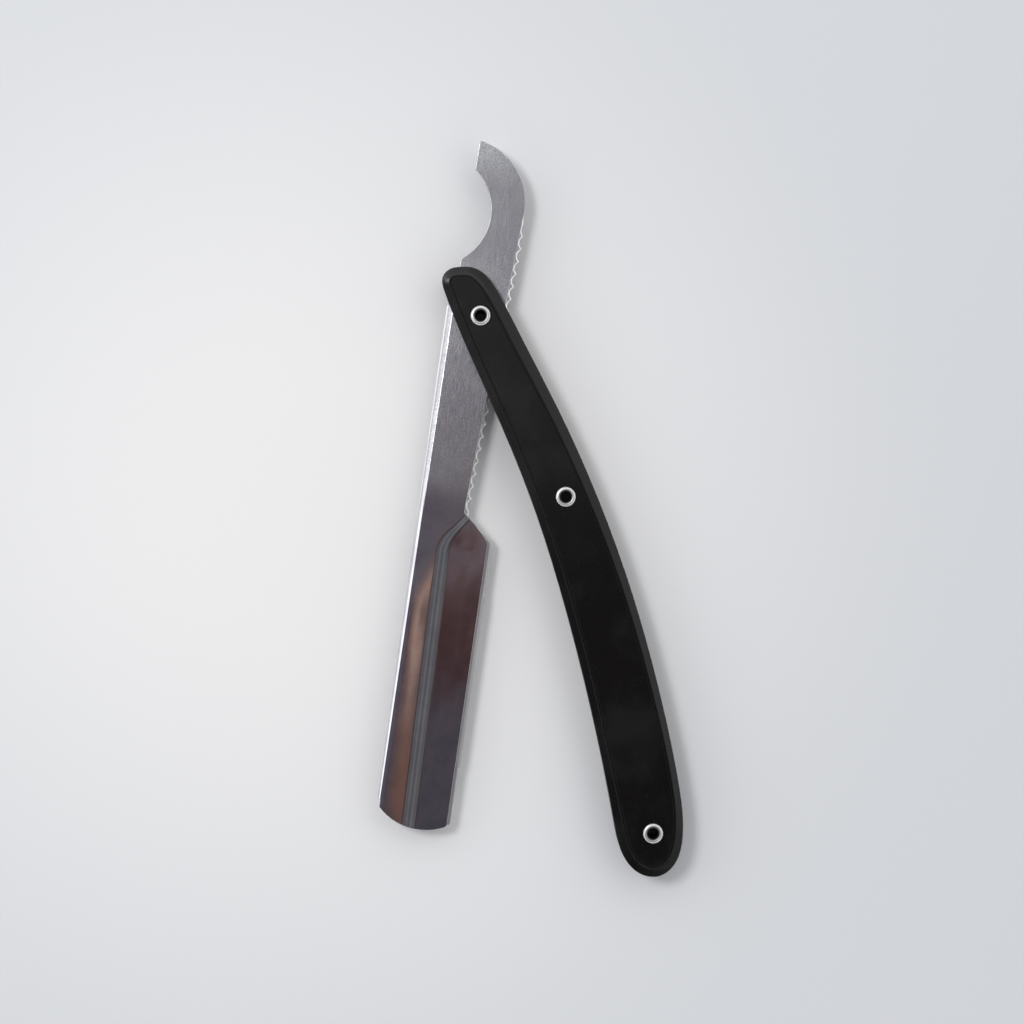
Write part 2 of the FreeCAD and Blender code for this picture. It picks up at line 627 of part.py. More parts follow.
def build_parts():
    parts = {
        "front_scale": front_scale(),
        "rear_scale": rear_scale(),
        "front_pivot_washer": front_pivot_washer(),
        "rear_pivot_washer": mirrored_in_z(front_pivot_washer()),
        "middle_sleeve": middle_sleeve(),
        "end_spacer": end_spacer(),
        "front_leaf": at_rest(front_leaf()),
        "rear_leaf": at_rest(rear_leaf()),
        "leaf_spacer": leaf_spacer(),
        "half_blade": at_rest(half_blade()),
    }
    for name, at in EYELETS.items():
        parts[name + "_eyelet"] = eyelet(at)
        parts[name + "_eyelet_washer"] = eyelet_washer(at)
    for name in stud_places():
        parts["blade_stud_" + name] = at_rest(stud(name))
    return parts


os.makedirs("parts", exist_ok=True)
for name, shape in build_parts().items():
    if len(shape.Solids) != 1 or not shape.isValid():
        raise SystemExit(f"{name}: {len(shape.Solids)} solids, valid {shape.isValid()}")
    shape.Solids[0].exportStep(f"parts/{name}.step")
    print(f"{name:24s} {shape.Volume:9.2f} mm3")
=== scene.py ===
import json
import math

import bmesh
import bpy
from mathutils import Matrix, Vector
from mathutils.bvhtree import BVHTree
from mathutils.geometry import delaunay_2d_cdt
from mathutils.kdtree import KDTree


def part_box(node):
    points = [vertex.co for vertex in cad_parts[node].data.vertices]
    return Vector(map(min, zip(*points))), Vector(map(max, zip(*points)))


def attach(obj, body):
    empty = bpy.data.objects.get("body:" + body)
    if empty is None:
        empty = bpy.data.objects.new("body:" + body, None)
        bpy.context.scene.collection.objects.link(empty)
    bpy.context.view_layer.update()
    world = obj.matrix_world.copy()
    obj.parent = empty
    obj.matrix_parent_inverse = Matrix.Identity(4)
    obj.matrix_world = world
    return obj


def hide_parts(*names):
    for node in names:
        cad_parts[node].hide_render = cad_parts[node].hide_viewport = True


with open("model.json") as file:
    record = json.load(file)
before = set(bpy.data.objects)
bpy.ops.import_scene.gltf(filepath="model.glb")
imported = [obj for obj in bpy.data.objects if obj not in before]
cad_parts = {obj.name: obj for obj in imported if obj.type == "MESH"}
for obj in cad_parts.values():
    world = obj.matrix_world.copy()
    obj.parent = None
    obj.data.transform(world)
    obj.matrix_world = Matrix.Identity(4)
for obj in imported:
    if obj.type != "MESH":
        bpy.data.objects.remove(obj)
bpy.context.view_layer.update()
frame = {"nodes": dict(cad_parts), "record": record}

MM = 0.001
HOLDER_REST_ANGLE = math.radians(-26.9)   # the holder's turn about the pivot at rest

# The picture's axes in the shared frame, and the point under the camera
PICTURE_RIGHT = Vector((0.3160, 0.9488, 0.0)).normalized()
PICTURE_UP = Vector((-0.9488, 0.3160, 0.0)).normalized()
CAMERA_OVER = Vector((42.44, -6.97, 3.0)) * MM
CAMERA_HEIGHT = 0.517
PICTURE_WIDTH = 0.2216                    # what the picture spans at the height of CAMERA_OVER

FLOOR_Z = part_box("rear_scale")[0].z


# ---------------------------------------------------------------- meshes

OWN_NORMALS = "own_normals"               # vertex layer with the normals that a mesh brings along
CREASE_SHADE_LAYER = "painted_crease_shade"                         # vertex layer that says how much painted shade a spot gets in the joggle's bends
SEAM = 0.0005                             # how far apart two vertices of one seam may be
FLAT_ENOUGH = math.radians(0.2)           # faces that meet at less than this are one face
SHARP = math.radians(24)                  # edges that turn by more than this are rounded
FLAT_WEIGHT = 80                          # how strongly big faces keep rounded edges from shading them


def face_angle(edge):
    if len(edge.link_faces) != 2:
        return 0.0
    return edge.calc_face_angle(0.0)


def cad_mesh(node):
    """A CAD node's mesh in millimetres, with its seams closed."""
    mesh = bmesh.new()
    mesh.from_mesh(frame["nodes"][node].data)
    mesh.transform(Matrix.Scale(1 / MM, 4))
    bmesh.ops.remove_doubles(mesh, verts=mesh.verts, dist=SEAM)
    return mesh


def finished(mesh, name, body, slot, *nodes):
    """Turn a mesh in millimetres into a smooth piece that rides on a body and replaces CAD nodes."""
    mesh.transform(Matrix.Scale(MM, 4))
    data = bpy.data.meshes.new(name)
    mesh.to_mesh(data)
    mesh.free()
    data.polygons.foreach_set("use_smooth", [True] * len(data.polygons))
    data.materials.append(MATERIALS[slot])
    piece = bpy.data.objects.new(name, data)
    bpy.context.scene.collection.objects.link(piece)
    if OWN_NORMALS in data.attributes:
        own = [item.vector for item in data.attributes[OWN_NORMALS].data]
        data.normals_split_custom_set_from_vertices(own)
        data.attributes.remove(data.attributes[OWN_NORMALS])
    else:
        normals = piece.modifiers.new("flat faces stay flat", "WEIGHTED_NORMAL")
        normals.mode = "FACE_AREA"
        normals.weight = FLAT_WEIGHT
        normals.keep_sharp = False
    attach(piece, body)
    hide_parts(*nodes)
    return piece


def soft_edged(node, rules, body, slot):
    """A finished piece for a CAD node, with its faces merged and its edges rounded.

    A rule is (test of an edge's middle in millimetres, radius in millimetres, segments). The first rule that
    takes an edge rounds it."""
    mesh = cad_mesh(node)
    bmesh.ops.dissolve_limit(mesh, angle_limit=FLAT_ENOUGH, verts=mesh.verts, edges=mesh.edges)
    for test, radius, segments in rules:
        sharp = [e for e in mesh.edges if face_angle(e) > SHARP and not e.tag]
        chosen = [e for e in sharp if test((e.verts[0].co + e.verts[1].co) / 2)]
        if chosen:
            made = bmesh.ops.bevel(
                mesh, geom=chosen, offset=radius, offset_type="OFFSET", segments=segments,
                profile=0.5, affect="EDGES", clamp_overlap=True)
            for edge in made["edges"]:
                edge.tag = True
    return finished(mesh, node + "_finished", body, slot, node)


# ---------------------------------------------------------------- the leaves' shape

def smooth(x, low, high):
    """Smooth step from 0 at low to 1 at high."""
    t = min(max((x - low) / (high - low), 0.0), 1.0)
    return t * t * (3 - 2 * t)


TOUCHING = 0.002                          # a point this close to a line is on it
OUTLINE_PROBE = 0.02                      # how far beside a wall to look for material
ABOVE_ALL = 50.0
CELL = 2                                  # side of the squares that points are sorted into


def cell_of(x, y):
    return int(x // CELL), int(y // CELL)


def points_on(a, b, corner, nearby):
    """The keys of the corners that lie on the line from a to b, in order along it."""
    length = (b - a).length
    along = (b - a) / length
    on_it = {}
    low = cell_of(min(a.x, b.x), min(a.y, b.y))
    high = cell_of(max(a.x, b.x), max(a.y, b.y))
    for cell_x in range(low[0] - 1, high[0] + 2):
        for cell_y in range(low[1] - 1, high[1] + 2):
            for key in nearby.get((cell_x, cell_y), ()):
                offset = corner[key] - a
                share = offset.dot(along)
                inside = -TOUCHING / 2 < share < length + TOUCHING / 2
                if inside and abs(offset.cross(along)) < TOUCHING:
                    on_it[key] = share
    return sorted(on_it, key=on_it.get)


def outline_loops(node):
    """Closed outlines of a flat CAD node from above, in its leaf's own (u, v), with material on the left."""
    mesh = cad_mesh(node)
    mesh.transform(Matrix.Rotation(-HOLDER_REST_ANGLE, 4, "Z"))
    tree = BVHTree.FromBMesh(mesh)
    corner, walls = {}, []
    for face in mesh.faces:
        if abs(face.normal.z) > 0.05:
            continue
        keys = {(round(v.co.x, 3), round(v.co.y, 3)): v.co.to_2d() for v in face.verts}
        corner.update(keys)
        walls.append(sorted(keys))
    mesh.free()

    def covered(point):
        return tree.ray_cast(Vector((point.x, point.y, ABOVE_ALL)), Vector((0, 0, -1)))[0] is not None

    nearby = {}
    for key in corner:
        nearby.setdefault(cell_of(*key), []).append(key)
    follow = {}
    for keys in walls:
        a, b = corner[keys[0]], corner[keys[-1]]
        if (b - a).length < TOUCHING:
            continue
        side = (b - a).normalized().orthogonal() * OUTLINE_PROBE
        row = points_on(a, b, corner, nearby)
        for first, second in zip(row, row[1:]):
            middle = (corner[first] + corner[second]) / 2
            left, right = covered(middle + side), covered(middle - side)
            if left and not right:
                follow[first] = second
            if right and not left:
                follow[second] = first
    loops = []
    while follow:
        start, here = next(iter(follow.items()))
        loop = [start]
        del follow[start]
        while here != start and here in follow:
            loop.append(here)
            here = follow.pop(here)
        if len(loop) > 5 and here == start:
            loops.append([corner[key] for key in loop])
    return loops


def divided(loop, step):
    """The loop with its long stretches cut into pieces no longer than step(middle)."""
    points = []
    for n, point in enumerate(loop):
        ahead = loop[(n + 1) % len(loop)] - point
        count = max(1, math.ceil(ahead.length / step(point + ahead / 2)))
        points += [point + ahead * (m / count) for m in range(count)]
    return points


def inward(loop):
    """For each point of a loop, the direction into the material, as long as one unit of inset needs."""
    directions = []
    for n, point in enumerate(loop):
        before = (point - loop[n - 1]).normalized()
        after = (loop[(n + 1) % len(loop)] - point).normalized()
        across = Vector((-(before.y + after.y), before.x + after.x)).normalized()
        directions.append(across / max(across.dot(Vector((-after.y, after.x))), 0.6))
    return directions


class Joggle:
    """The line that the head's joggle follows: a diagonal from the notch, a bend, then along the head."""
    DIAGONAL = math.radians(-36.0)
    RUN = math.radians(1.36)
    CORNER = Vector((49.55, -0.725))
    BEND_R = 8.0
    d1 = Vector((math.cos(DIAGONAL), math.sin(DIAGONAL)))
    d2 = Vector((math.cos(RUN), math.sin(RUN)))
    n1 = Vector((-d1.y, d1.x))
    n2 = Vector((-d2.y, d2.x))
    tangent = BEND_R * math.tan((RUN - DIAGONAL) / 2)
    bend_start = CORNER - d1 * tangent
    bend_end = CORNER + d2 * tangent
    centre = bend_start + n1 * BEND_R

    @classmethod
    def across(cls, point):
        """Distance from the line, positive on the pad's side, and along it, zero where the bend starts."""
        if (point - cls.bend_start).dot(cls.d1) < 0:
            offset = point - cls.bend_start
            return offset.dot(cls.n1), offset.dot(cls.d1)
        if (point - cls.bend_end).dot(cls.d2) > 0:
            offset = point - cls.bend_end
            return offset.dot(cls.n2), offset.dot(cls.d2) + cls.BEND_R * (cls.RUN - cls.DIAGONAL)
        spoke = point - cls.centre
        turn = math.atan2(spoke.y, spoke.x) - math.atan2(-cls.n1.y, -cls.n1.x)
        return cls.BEND_R - spoke.length, cls.BEND_R * turn

    @classmethod
    def at(cls, along, out):
        """Point at a distance along the line and out from it."""
        arc_length = cls.BEND_R * (cls.RUN - cls.DIAGONAL)
        if along < 0:
            return cls.bend_start + cls.d1 * along + cls.n1 * out
        if along > arc_length:
            return cls.bend_end + cls.d2 * (along - arc_length) + cls.n2 * out
        turn = cls.DIAGONAL + along / cls.BEND_R
        return cls.centre - Vector((-math.sin(turn), math.cos(turn))) * (cls.BEND_R - out)


NECK_Z, PAD_Z, SHEET = 1.2, 0.9, 0.8      # outer faces of a leaf above the mid-plane, and its thickness
LEAF_INNER_Z = NECK_Z - SHEET             # inner face of a leaf at its neck
SPINE_V = -6.1
BAND_HALF_AT_NOTCH, BAND_HALF = 0.80, 1.45   # half the joggle's width
RAMP_SOFTNESS = 0.03                      # rounding at the joggle's two edges, as a share of its width
RIPPLES, RIPPLE = 3, 0.13                 # die marks along the joggle, and how much they vary its slope
NOTCH_SHALLOWER = 0.15                    # share of the joggle's depth that is missing by the notch
CROWN_START, CROWN_LENGTH = 47.5, 19.0    # where the rib starts to rise, and over what length
CROWN_RISE, CROWN_FLANK = 0.18, 0.7       # its height, and the width of its side by the spine
CROWN_LEAN = 0.57                         # how straight its long slope is
HEAD_START_U = 42.0
TAIL_END_U, TOE_END_U = -38.0, 112.3
EDGE_LOW_V, EDGE_HIGH_V = -8.0, 10.0      # the leaves lie between these


def band_half(along):
    return BAND_HALF_AT_NOTCH + (BAND_HALF - BAND_HALF_AT_NOTCH) * smooth(along, -3.0, 5.0)


def joggle_drop(point):
    """How far a leaf's sheet has sunk at a point: a shallow rippled ramp, less deep by the notch."""
    out, along = Joggle.across(point)
    raw = (out / band_half(along) + 1) / 2
    share = (math.hypot(raw, RAMP_SOFTNESS) - math.hypot(raw - 1, RAMP_SOFTNESS) + 1) / 2
    ripple = RIPPLE * math.sin(math.tau * RIPPLES * share) / (math.tau * RIPPLES)
    shallow = NOTCH_SHALLOWER * (1 - smooth(along, -4.0, 4.0)) * (1 - smooth(out, 0.5, 8.0))
    return (NECK_Z - PAD_Z) * (share + ripple) * (1 - shallow)


def crown_height(point):
    """Shallow rib between the spine and the joggle: steep by the spine, a long slope, and a soft start."""
    out, along = Joggle.across(point)
    far_side = -out - band_half(along) - 0.1
    near_side = point.y - SPINE_V
    if far_side <= 0 or near_side <= 0 or point.x < CROWN_START:
        return 0.0
    width = near_side + far_side
    flank = CROWN_FLANK * min(width / 4.5, 1.0)
    beyond = max(near_side - flank, 0.0) / (width - flank)
    slope_down = 1 - CROWN_LEAN * beyond - (1 - CROWN_LEAN) * beyond ** 2
    start = smooth(point.x, CROWN_START, CROWN_START + CROWN_LENGTH)
    return CROWN_RISE * smooth(near_side, 0.0, flank) * slope_down * start


def painted_crease_shade(point):
    """How much shade is painted into the joggle's bends: lines along it, and more beside its edges by the
    notch.
    """
    out, along = Joggle.across(point)
    across = out / band_half(along)       # -1 and 1 at the joggle's edges
    by_notch = 1 - smooth(along, 1.0, 7.0)

    def line(at, half_width, much):
        return much * math.exp(-((across - at) / half_width) ** 2)

    middle = line(-0.05, 0.10, 0.28) + line(-0.62, 0.10, 0.14)
    pad_side = line(0.80, 0.20, 0.10 + 0.90 * by_notch)
    neck_side = line(-0.92, 0.15, 0.12 + 0.55 * by_notch)
    edges = line(1.0, 0.07, 0.9) + line(-1.0, 0.07, 0.9)
    return min(middle + pad_side + neck_side + edges, 1.0)


HEAD_SPACING, HEAD_SPACING_FINE = 1.1, 0.35   # between the points along the joggle's and the rib's rows
JOGGLE_FROM, JOGGLE_UNTIL = -7.5, 66.0        # along it, from beyond the notch to beyond the toe
JOGGLE_FINE_UNTIL, JOGGLE_FINE_FROM = 7.0, 61.0
JOGGLE_ROWS_PER_HALF = 12
CROWN_ROWS, CROWN_SPACING_FINE = 22, 0.3
CROWN_LEAD = 1.5                              # the rib's rows start this far before it
CROWN_FINE_LENGTH = 4.0                       # and are fine this far into it
CROWN_UNTIL_U = 112.5
CROWN_CLEAR = 1.3                             # how far they stay off the joggle, in halves of its width
CROWN_LEAST_REACH = 0.2
ON_SPINE = 0.02                               # how far inside the spine's line the first of them runs


def head_points():
    """Rows of points over the head, in line with the joggle and the rib, for its mesh to follow."""
    rows = []
    for n in range(-JOGGLE_ROWS_PER_HALF - 3, JOGGLE_ROWS_PER_HALF + 5):
        row, along = [], JOGGLE_FROM
        while along < JOGGLE_UNTIL:
            row.append(Joggle.at(along, n / JOGGLE_ROWS_PER_HALF * band_half(along)))
            coarse = JOGGLE_FINE_UNTIL <= along <= JOGGLE_FINE_FROM
            along += HEAD_SPACING if coarse else HEAD_SPACING_FINE
        rows.append(row)
    for n in range(CROWN_ROWS):
        share = n / (CROWN_ROWS - 1)
        row, u = [], CROWN_START - CROWN_LEAD
        while u < CROWN_UNTIL_U:
            out, along = Joggle.across(Vector((u, SPINE_V)))
            reach = max(-out - band_half(along) * CROWN_CLEAR, CROWN_LEAST_REACH)
            row.append(Vector((u, SPINE_V + ON_SPINE + reach * share)))
            u += CROWN_SPACING_FINE if u < CROWN_START + CROWN_FINE_LENGTH else HEAD_SPACING
        rows.append(row)
    return rows


def in_polygon(point, loop):
    inside = False
    for n, b in enumerate(loop):
        a = loop[n - 1]
        if (a.y > point.y) != (b.y > point.y):
            if point.x < a.x + (b.x - a.x) * (point.y - a.y) / (b.y - a.y):
                inside = not inside
    return inside


def leaf_top(point, crowned):
    return NECK_Z - joggle_drop(point) + (crown_height(point) if crowned else 0.0)


SLOPE_PROBE = 0.02


def top_normal(point, crowned):
    reach = SLOPE_PROBE
    along_u, along_v = Vector((reach, 0.0)), Vector((0.0, reach))
    slope_u = (leaf_top(point + along_u, crowned) - leaf_top(point - along_u, crowned)) / (2 * reach)
    slope_v = (leaf_top(point + along_v, crowned) - leaf_top(point - along_v, crowned)) / (2 * reach)
    return Vector((-slope_u, -slope_v, 1.0)).normalized()


class SheetBuilder:
    """Collects vertices, with normals, and faces in a leaf's own frame. Flipped is for the rear leaf."""

    def __init__(self, flipped):
        self.mesh = bmesh.new()
        self.layer = self.mesh.verts.layers.float_vector.new(OWN_NORMALS)
        self.crease_shades = self.mesh.verts.layers.float.new(CREASE_SHADE_LAYER)
        self.turn = Matrix.Rotation(HOLDER_REST_ANGLE, 4, "Z")
        self.flipped = flipped
        if flipped:
            self.turn = self.turn @ Matrix.Scale(-1, 4, Vector((0, 0, 1)))

    def vertex(self, point, z, normal):
        made = self.mesh.verts.new(self.turn @ Vector((point.x, point.y, z)))
        made[self.layer] = self.turn.to_3x3() @ Vector(normal).normalized()
        return made

    def face(self, corners):
        self.mesh.faces.new(list(reversed(corners)) if self.flipped else corners)

    def strip(self, low, high):
        for n in range(len(low)):
            m = (n + 1) % len(low)
            self.face([low[n], low[m], high[m], high[n]])


ROLL_STEPS = [math.radians(angle) for angle in (0.0, 22.0, 45.0, 68.0, 90.0)]
RIM_ROOM = 0.12                           # how far the mesh's inner points stay off its rim
POINT_ROOM = 0.045                        # how far the head's points stay apart
PLAIN_SPACING, PLAIN_ROOM = 1.3, 1.0      # spacing of points where a leaf is flat, and their least distance
PLAIN_UNTIL_U = CROWN_START - 2.5         # such points cover the whole width up to here
PLAIN_CLEAR = 1.5                         # and the pad beyond, this many halves of the joggle's width off it
SMALLEST_FACE = 1e-7


TRIANGLES_INSIDE, MERGED_WITHIN = 1, 1e-5   # how the flats are divided into faces
DOWN = Vector((0.0, 0.0, -1.0))


def rolled_edge(build, loop, outer_roll, inner_roll, crowned):
    """Roll a leaf's edge along one outline.

    Returns the rim of the flat inside it, and that rim's vertices on the outer and the inner face."""
    directions = inward(loop)
    outwards = [Vector((-d.x, -d.y, 0.0)).normalized() for d in directions]
    tops = [leaf_top(point, crowned) for point in loop]
    lows = [LEAF_INNER_Z - joggle_drop(point) for point in loop]
    upwards = [top_normal(point, crowned) for point in loop]
    rolls = (
        (inner_roll, lows, -1, [DOWN] * len(loop)),
        (outer_roll, tops, 1, upwards),
    )
    rings = []
    for roll, levels, side, poles in rolls:
        for angle in ROLL_STEPS[::side]:
            ring = []
            for n, point in enumerate(loop):
                radius = roll(point)
                spot = point + directions[n] * radius * (1 - math.cos(angle))
                z = levels[n] - side * radius * (1 - math.sin(angle))
                normal = outwards[n] * math.cos(angle) + poles[n] * math.sin(angle)
                ring.append(build.vertex(spot, z, normal))
            rings.append(ring)
    for low, high in zip(rings, rings[1:]):
        build.strip(low, high)
    rim = [point + d * outer_roll(point) for point, d in zip(loop, directions)]
    return rim, rings[-1], rings[0]


class Net:
    """The points that a leaf's flat is meshed through, rims first, and the edges that its mesh keeps."""

    def __init__(self, rims, outline):
        self.points, self.edges, self.taken = [], [], set()
        for rim in rims:
            base = len(self.points)
            self.points += rim
            self.edges += [(base + n, base + (n + 1) % len(rim)) for n in range(len(rim))]
        self.rim_count = len(self.points)
        self.border = KDTree(self.rim_count)
        for n, point in enumerate(self.points):
            self.border.insert((point.x, point.y, 0.0), n)
        self.border.balance()
        self.outline = rims[outline]
        self.holes = [rim for n, rim in enumerate(rims) if n != outline]

    def on_leaf(self, point):
        in_hole = any(in_polygon(point, hole) for hole in self.holes)
        return not in_hole and in_polygon(point, self.outline)

    def clear(self, point):
        return self.border.find((point.x, point.y, 0.0))[2] > RIM_ROOM and self.on_leaf(point)

    def offer(self, point, room):
        """Take a point if it's on the leaf, clear of the rim and of the points taken before."""
        cell = (round(point.x / room), round(point.y / room))
        if cell in self.taken or not self.clear(point):
            return None
        self.taken.add(cell)
        self.points.append(point)
        return len(self.points) - 1

    def offer_row(self, row):
        """Take a row of points, and keep the edges between them that stay clear of the rim."""
        last = None
        for point in row:
            here = self.offer(point, POINT_ROOM)
            if last is not None and here is not None:
                start, end = self.points[last], self.points[here]
                if all(self.clear(start.lerp(end, share)) for share in (0.25, 0.5, 0.75)):
                    self.edges.append((last, here))
            last = here


def plain_points():
    """A grid of points over the parts of a leaf that the head's rows leave out."""
    points = []
    u = TAIL_END_U
    while u < TOE_END_U:
        v = EDGE_LOW_V
        while v < EDGE_HIGH_V:
            point = Vector((u, v))
            out, along = Joggle.across(point)
            if u < PLAIN_UNTIL_U or out > band_half(along) * PLAIN_CLEAR:
                points.append(point)
            v += PLAIN_SPACING
        u += PLAIN_SPACING
    return points


def leaf_sheet(loops, outer_roll, inner_roll, flipped):
    """A sheet-metal leaf with rolled edges, of radius outer_roll(point) outside, inner_roll(point) inside."""
    crowned = not flipped
    area = [sum(a.cross(b) for a, b in zip(loop, loop[1:] + loop[:1])) for loop in loops]
    build = SheetBuilder(flipped)
    rims, top_of, bottom_of = [], [], []
    for loop in loops:
        rim, top, bottom = rolled_edge(build, loop, outer_roll, inner_roll, crowned)
        rims.append(rim)
        top_of += top
        bottom_of += bottom
    net = Net(rims, area.index(max(area)))
    for row in head_points():
        net.offer_row(row)
    for point in plain_points():
        net.offer(point, PLAIN_ROOM)

    made_points, _, faces, origins, _, _ = delaunay_2d_cdt(
        net.points, net.edges, [], TRIANGLES_INSIDE, MERGED_WITHIN)
    top_verts, bottom_verts = [], []
    for n, point in enumerate(made_points):
        source = next((o for o in origins[n] if o < net.rim_count), None)
        if source is None:
            normal = top_normal(point, crowned)
            top_verts.append(build.vertex(point, leaf_top(point, crowned), normal))
            # how much shade is painted here, in the joggle's bends
            top_verts[-1][build.crease_shades] = painted_crease_shade(point)
            bottom_verts.append(build.vertex(point, LEAF_INNER_Z - joggle_drop(point), DOWN))
        else:
            top_verts.append(top_of[source])
            bottom_verts.append(bottom_of[source])
    for face in faces:
        a, b, c = (made_points[n] for n in face)
        if (b - a).cross(c - a) < SMALLEST_FACE or not net.on_leaf((a + b + c) / 3):
            continue
        build.face([top_verts[n] for n in face])
        build.face([bottom_verts[n] for n in reversed(face)])
    return build


# ---------------------------------------------------------------- the front leaf's folded spine

FOLD_START_U, FOLD_END_U = -1.5, 107.0
FOLD_START_V, FOLD_END_V = -7.69, -6.76   # its outer side at its two ends
FOLD_CORNER = 0.12                        # radius at its lower edges and at its two ends
FOLD_ROLL_POINTS = 15
FOLD_STATIONS = 24
ROLL_FLATNESS = 0.6                       # how much of a straight slope the roll has in its middle


def fold_profile(u):
    """The fold's section at u, as (v, z, normal): over the roll, down outside, and back up inside."""
    outer = FOLD_START_V + (FOLD_END_V - FOLD_START_V) * (u - FOLD_START_U) / (FOLD_END_U - FOLD_START_U)
    roll = SPINE_V - outer
    low, corner = -NECK_Z, FOLD_CORNER
    inside = min(outer + SHEET, SPINE_V - 0.02)
    curve = []
    for n in range(FOLD_ROLL_POINTS):
        share = n / (FOLD_ROLL_POINTS - 1)
        angle = share * math.pi / 2
        flatter = ROLL_FLATNESS * smooth(share, 0.0, 0.25) * smooth(share, 1.0, 0.75)
        across = math.sin(angle) * (1 - flatter) + share * flatter
        fall = (1 - math.cos(angle)) * (1 - flatter) + share * flatter
        curve.append((SPINE_V - roll * across, NECK_Z - roll * fall))
    section = []
    for n, (v, z) in enumerate(curve):
        ahead, behind = curve[min(n + 1, len(curve) - 1)], curve[max(n - 1, 0)]
        normal = Vector((ahead[1] - behind[1], behind[0] - ahead[0])).normalized()
        section.append((v, z, normal))
    section[0] = (*curve[0], Vector((0.0, 1.0)))
    section[-1] = (*curve[-1], Vector((-1.0, 0.0)))
    for degrees in (0.0, 30.0, 60.0, 90.0):
        angle = math.radians(degrees)
        normal = Vector((-math.cos(angle), -math.sin(angle)))
        section.append((outer + corner + normal.x * corner, low + corner + normal.y * corner, normal))
    section += [
        (inside - corner, low, Vector((0.0, -1.0))),
        (inside, low + corner, Vector((1.0, 0.0))),
        (inside, LEAF_INNER_Z, Vector((1.0, 0.0))),
        (SPINE_V, LEAF_INNER_Z, Vector((1.0, 0.0))),
    ]
    return section


def add_fold(build):
    """The rolled-over spine, as a bar along the leaf's edge with rounded ends."""
    first, last = FOLD_START_U + FOLD_CORNER, FOLD_END_U - FOLD_CORNER
    stations = [first + (last - first) * n / FOLD_STATIONS for n in range(FOLD_STATIONS + 1)]
    rows = []
    for u in stations:
        row = []
        for v, z, normal in fold_profile(u):
            row.append(build.vertex(Vector((u, v)), z, (0.0, normal.x, normal.y)))
        rows.append(row)
    ends = []
    for u, way, shape_u in ((FOLD_START_U, -1.0, first), (FOLD_END_U, 1.0, last)):
        rounded, flat = [], []
        for v, z, normal in fold_profile(shape_u):
            spot = Vector((u, v - normal.x * FOLD_CORNER))
            z = z - normal.y * FOLD_CORNER
            rounded.append(build.vertex(spot, z, (way, normal.x, normal.y)))
            flat.append(build.vertex(spot, z, (way, 0.0, 0.0)))
        ends.append((rounded, flat))
    rows = [ends[0][0]] + rows + [ends[1][0]]
    for low, high in zip(rows, rows[1:]):
        build.strip(low, high)
    build.face(list(reversed(ends[0][1])))
    build.face(ends[1][1])


OUTLINE_ROOM = 0.04                       # outline points closer than this are one
STEP, STEP_FINE = 1.2, 0.3                # longest pieces of an outline
FINE_FROM_U, FINE_NOTCH_U = 93, (41, 50)
ROLL, ROLL_HEAD = 0.16, 0.07              # of the leaves' outer edges
ROLL_UNDER_FOLD = 0.003
FRONT_INNER_ROLL = 0.08                   # at most
REAR_INNER_ROLL, REAR_INNER_ROLL_HEAD = 0.36, 0.24


def under_fold(point):
    """Whether a point of the front leaf's outline is where the fold carries on."""
    return point.y < SPINE_V + 0.01 and FOLD_START_U - 0.02 < point.x < FOLD_END_U + 0.02


def front_roll(point):
    """Roll of the front leaf's outer edge: sharper on the head, next to none where the fold carries on."""
    if under_fold(point):
        return ROLL_UNDER_FOLD
    return ROLL_HEAD if point.x > HEAD_START_U else ROLL


def without_repeats(loop):
    """The loop without points that lie almost on the one before."""
    kept = loop[:1]
    for point in loop[1:]:
        if (point - kept[-1]).length > OUTLINE_ROOM:
            kept.append(point)
    if (kept[-1] - kept[0]).length < OUTLINE_ROOM:
        kept.pop()
    return kept


def outline_step(middle):
    """How long the outline's pieces may be: short by the toe and by the notch."""
    by_notch = FINE_NOTCH_U[0] < middle.x < FINE_NOTCH_U[1]
    return STEP_FINE if middle.x > FINE_FROM_U or by_notch else STEP


def front_leaf():
    """The front leaf's flat and its folded spine in one mesh. The flat ends where the fold begins."""
    loops = []
    for loop in outline_loops("front_leaf"):
        level = [Vector((point.x, max(point.y, SPINE_V))) for point in loop]
        loops.append(divided(without_repeats(level), outline_step))
    sheet = leaf_sheet(loops, front_roll, lambda p: min(front_roll(p), FRONT_INNER_ROLL), False)
    add_fold(sheet)
    return sheet.mesh


def rear_inner_roll(point):
    return REAR_INNER_ROLL_HEAD if point.x > HEAD_START_U else REAR_INNER_ROLL


def rear_leaf():
    loops = [divided(without_repeats(loop), outline_step) for loop in outline_loops("rear_leaf")]
    return leaf_sheet(loops, lambda p: ROLL, rear_inner_roll, True).mesh


# ---------------------------------------------------------------- material nodes

def add(tree, kind, inputs=None, **settings):
    """A node with its settings and inputs. An input is a value or another node's socket."""
    made = tree.nodes.new(kind)
    for key, value in settings.items():
        setattr(made, key, value)
    for key, value in (inputs or {}).items():
        if isinstance(value, bpy.types.NodeSocket):
            tree.links.new(value, made.inputs[key])
        else:
            made.inputs[key].default_value = value
    return made


def maths(tree, operation, a, b=0.0, c=0.0, clamp=False):
    inputs = {0: a, 1: b, 2: c}
    return add(tree, "ShaderNodeMath", inputs, operation=operation, use_clamp=clamp).outputs[0]


def ramp(tree, value, low, high, to_low=0.0, to_high=1.0):
    """Smooth change from to_low at low to to_high at high."""
    inputs = {"Value": value, "From Min": low, "From Max": high, "To Min": to_low, "To Max": to_high}
    return add(tree, "ShaderNodeMapRange", inputs, interpolation_type="SMOOTHSTEP").outputs["Result"]


def noise(tree, vector, scale, detail=2.0, roughness=0.5, distortion=0.0):
    inputs = {"Vector": vector, "Scale": scale, "Detail": detail, "Roughness": roughness}
    inputs["Distortion"] = distortion
    return add(tree, "ShaderNodeTexNoise", inputs).outputs["Fac"]


def blend(tree, share, a, b):
    """A plain value between a and b."""
    return add(tree, "ShaderNodeMix", {0: share, 2: a, 3: b}).outputs[0]


